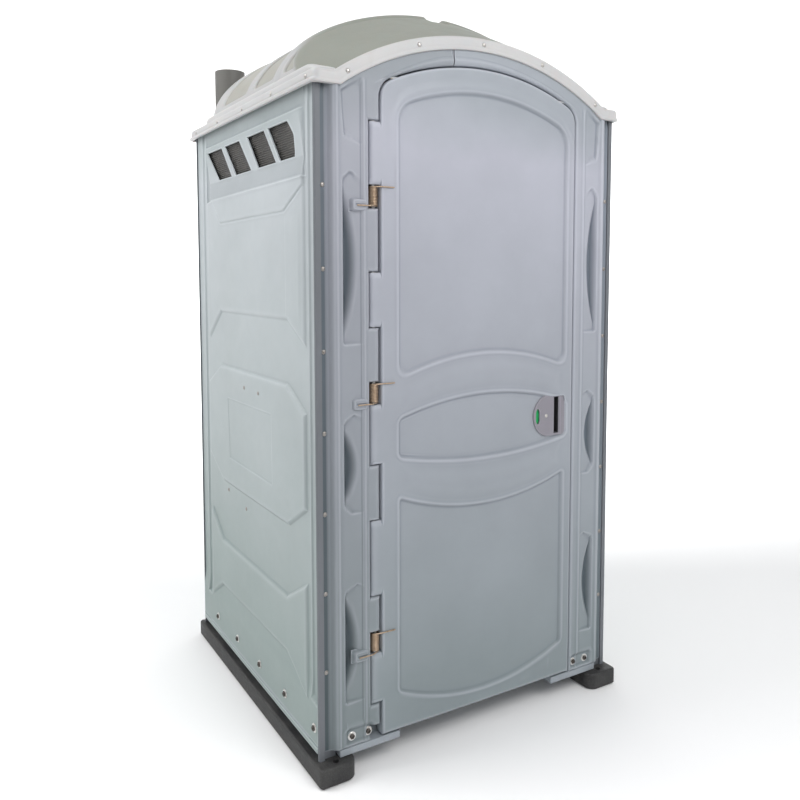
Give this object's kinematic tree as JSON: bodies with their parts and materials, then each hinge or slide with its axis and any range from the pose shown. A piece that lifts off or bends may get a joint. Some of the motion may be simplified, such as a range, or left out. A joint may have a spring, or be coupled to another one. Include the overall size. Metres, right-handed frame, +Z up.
{
  "type": "portable toilet cabin",
  "caption": "Free-standing moulded plastic toilet cabin on two skids, with a sprung arched door, domed roof, vent pipe, vented side walls, and a tank with seat and urinal inside.",
  "frame": {"origin": "on the ground, in the middle of the overall width and depth", "axes": "+X to the right seen from the door, +Y from the door towards the back, +Z up"},
  "size_m": [1.142, 1.168, 2.3099],
  "materials": {
    "skid_plastic": "rough recycled plastic",
    "pan_plastic": "moulded, satin",
    "wall_plastic": "moulded, satin",
    "post_plastic": "extruded, satin",
    "frame_plastic": "moulded, satin",
    "door_plastic": "moulded, satin",
    "roof_plastic": "moulded, translucent white",
    "pipe_plastic": "extruded, satin",
    "screen_plastic": "moulded, dark",
    "steel": "zinc plated",
    "rivet_metal": "plain",
    "spring_steel": "bronze coloured wire",
    "latch_plastic": "smooth",
    "indicator_green": "smooth",
    "black_plastic": "smooth",
    "tank_plastic": "moulded, satin",
    "seat_plastic": "smooth",
    "paper": "soft paper"
  },
  "bodies": {
    "cabin": {"skid_left": "skid_plastic", "skid_right": "skid_plastic", "floor_pan": "pan_plastic", "side_panel_left": "wall_plastic", "side_panel_right": "wall_plastic", "back_panel": "wall_plastic", "post_front_left": "post_plastic", "post_front_right": "post_plastic", "post_rear_left": "post_plastic", "post_rear_right": "post_plastic", "front_frame_left": "frame_plastic", "front_frame_right": "frame_plastic", "roof_shell": "roof_plastic", "vent_pipe": "pipe_plastic", "vent_screen_left": "screen_plastic", "vent_screen_right": "screen_plastic", "hinge_rod": "steel", "hinge_springs": "spring_steel", "latch_strike": "steel", "holding_tank": "tank_plastic", "toilet_seat": "seat_plastic", "lid_pin": "steel", "urinal": "tank_plastic", "urinal_drain": "pipe_plastic", "paper_holder": "frame_plastic", "paper_rod": "steel", "front_rivets": "rivet_metal", "rear_rivets": "rivet_metal", "roof_rivets": "rivet_metal", "side_bolts": "steel", "frame_bolts": "steel", "skid_bolts": "steel"},
    "door": {"door_outer_skin": "door_plastic", "door_inner_skin": "door_plastic", "latch_plate": "latch_plastic"},
    "latch": {"latch_spindle": "steel", "latch_indicator": "indicator_green", "latch_bolt": "black_plastic"},
    "lid": {"toilet_lid": "seat_plastic"},
    "roll_front": {"paper_roll_front": "paper"},
    "roll_rear": {"paper_roll_rear": "paper"}
  },
  "joints": [
    {"name": "door_hinge", "type": "hinge", "parent": "cabin", "child": "door", "pos_m": [-0.376, -0.54, 1], "axis": [0, 0, -1], "range_deg": [0, 95], "stiffness_Nm_per_rad": 5, "springref_deg": -22.92, "deforming": ["hinge_springs"]},
    {"name": "latch_turn", "type": "hinge", "parent": "door", "child": "latch", "pos_m": [0.264, -0.536, 0.978], "axis": [0, 1, 0], "range_deg": [0, 90]},
    {"name": "lid_hinge", "type": "hinge", "parent": "cabin", "child": "lid", "pos_m": [0, 0.397, 0.487], "axis": [-1, 0, 0], "range_deg": [0, 95]},
    {"name": "roll_front_spin", "type": "hinge", "parent": "cabin", "child": "roll_front", "pos_m": [-0.481, -0.06583, 0.8363], "axis": [0, 1, 0], "continuous": true},
    {"name": "roll_rear_spin", "type": "hinge", "parent": "cabin", "child": "roll_rear", "pos_m": [-0.481, 0.05383, 0.8363], "axis": [0, 1, 0], "continuous": true}
  ]
}
